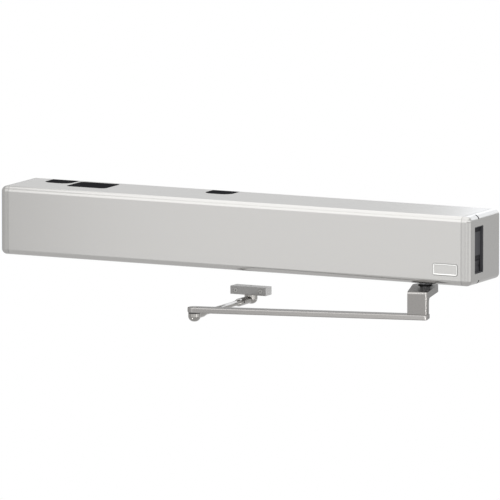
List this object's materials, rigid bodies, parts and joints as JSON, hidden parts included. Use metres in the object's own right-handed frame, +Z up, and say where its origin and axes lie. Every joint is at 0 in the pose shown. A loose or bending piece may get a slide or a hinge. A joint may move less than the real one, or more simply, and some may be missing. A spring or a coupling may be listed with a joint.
{
  "type": "automatic door operator",
  "caption": "Header-mounted swing door operator: long covered box, cranked main arm and adjustable forearm with a door shoe.",
  "frame": {"origin": "centre of the flat back of the header box, which lies on the wall above the door", "axes": "+X along the header towards the end with the switch window, +Y into the wall, +Z up"},
  "size_m": [0.9144, 0.2452, 0.1971],
  "materials": {
    "cover_aluminium": "clear anodised, satin",
    "cap_silver": "moulded, painted silver, satin",
    "plug_black": "moulded, fine grain",
    "zinc_steel": "zinc plated sheet",
    "screw_steel": "zinc plated",
    "plate_silver": "satin, bare",
    "panel_black": "moulded, satin",
    "rocker_black": "moulded, semi gloss",
    "gearbox_cast": "cast and machined",
    "bush_bronze": "sintered bronze",
    "gear_steel": "cut steel, lightly oiled",
    "spindle_steel": "black oxide",
    "motor_black": "powder coat",
    "shaft_steel": "ground",
    "sensor_black": "moulded",
    "encoder_sheet": "etched, blackened",
    "piston_acetal": "turned acetal",
    "tube_grey": "powder coat",
    "spring_steel": "oiled spring steel",
    "arm_silver": "silver paint, satin",
    "rod_silver": "satin nickel plated",
    "pin_steel": "turned steel",
    "washer_black": "nylon",
    "shoe_silver": "silver paint, satin",
    "board_green": "lacquered laminate",
    "standoff_brass": "turned brass",
    "can_black": "sleeved can",
    "sink_black": "black anodised",
    "relay_blue": "moulded",
    "terminal_green": "moulded",
    "holder_black": "moulded",
    "fuse_glass": "clear",
    "coil_amber": "taped winding",
    "pad_rubber": "neoprene"
  },
  "bodies": {
    "header": {"cover": "cover_aluminium", "knockout_plug_left": "plug_black", "knockout_plug_centre": "plug_black", "access_plate": "plug_black", "chassis": "zinc_steel", "cover_screws": "screw_steel", "end_cap_right": "cap_silver", "end_cap_left": "cap_silver", "name_plate": "plate_silver", "switch_panel": "panel_black", "rocker_housing": "panel_black", "gearbox_case": "gearbox_cast", "gearbox_lid": "gearbox_cast", "gearbox_pillars": "gearbox_cast", "gearbox_screws": "screw_steel", "spindle_bush_lower": "bush_bronze", "spindle_bush_upper": "bush_bronze", "idler_bushes": "bush_bronze", "motor_body": "motor_black", "encoder_sensor": "sensor_black", "rack_guide": "piston_acetal", "spring_tube": "tube_grey", "spring_end_plug": "tube_grey", "tube_saddles": "gearbox_cast", "closer_spring": "spring_steel", "control_board": "board_green", "board_standoffs": "standoff_brass", "board_screws": "screw_steel", "capacitors": "can_black", "heat_sink": "sink_black", "relays": "relay_blue", "terminal_blocks": "terminal_green", "fuse_holder": "holder_black", "fuse": "fuse_glass", "transformer_coil": "coil_amber", "transformer_pad": "pad_rubber", "transformer_bolt": "screw_steel", "earth_stud": "screw_steel"},
    "arm": {"output_spindle": "spindle_steel", "output_gear": "gear_steel", "spindle_pinion": "gear_steel", "encoder_disc": "encoder_sheet", "main_arm": "arm_silver", "arm_screw": "screw_steel", "elbow_pin": "pin_steel"},
    "forearm": {"forearm_rod": "rod_silver", "elbow_washer": "washer_black", "set_screw": "screw_steel"},
    "forearm_end": {"forearm_end": "rod_silver"},
    "shoe": {"door_shoe": "shoe_silver", "shoe_pin": "pin_steel"},
    "idler": {"idler_shaft": "shaft_steel", "idler_gear": "gear_steel", "idler_pinion": "gear_steel"},
    "motor_rotor": {"motor_shaft": "shaft_steel", "motor_pinion": "gear_steel"},
    "rack": {"rack": "gear_steel", "pull_rod": "shaft_steel", "piston": "piston_acetal"},
    "rocker": {"rocker": "rocker_black"}
  },
  "joints": [
    {"name": "arm_swing", "type": "hinge", "parent": "header", "child": "arm", "pos_m": [0.3436, -0.0591, -0.08], "axis": [0, 0, -1], "range_deg": [-15, 110], "stiffness_Nm_per_rad": 6},
    {"name": "elbow_turn", "type": "hinge", "parent": "arm", "child": "forearm", "pos_m": [-0.01729, -0.23321, -0.1201], "axis": [0, 0, 1], "range_deg": [-50, 95]},
    {"name": "forearm_adjust", "type": "slide", "parent": "forearm", "child": "forearm_end", "axis": [0, 1, 0], "range_m": [0, 0.012]},
    {"name": "shoe_turn", "type": "hinge", "parent": "forearm_end", "child": "shoe", "pos_m": [-0.01729, -0.012, -0.1174], "axis": [0, 0, 1], "range_deg": [-100, 100]},
    {"name": "mode_rocker", "type": "hinge", "parent": "header", "child": "rocker", "pos_m": [0.4432, -0.0816, -0.0296], "axis": [0, 1, 0], "range_deg": [-8, 8]},
    {"name": "rack_slide", "type": "slide", "parent": "header", "child": "rack", "axis": [1, 0, 0], "range_m": [-0.005, 0.034], "deforming": ["closer_spring"]},
    {"name": "idler_turn", "type": "hinge", "parent": "header", "child": "idler", "pos_m": [0.2981, -0.0591, -0.01], "axis": [0, 0, -1], "range_deg": [-368, 51]},
    {"name": "motor_turn", "type": "hinge", "parent": "header", "child": "motor_rotor", "pos_m": [0.2656, -0.0591, 0.01], "axis": [0, 0, -1], "range_deg": [-168, 1224]}
  ],
  "couplings": [
    {"joint": "rack_slide", "follows": "arm_swing", "m_per_rad": 0.0175},
    {"joint": "idler_turn", "follows": "arm_swing", "ratio": -3.3333},
    {"joint": "motor_turn", "follows": "arm_swing", "ratio": 11.111}
  ]
}
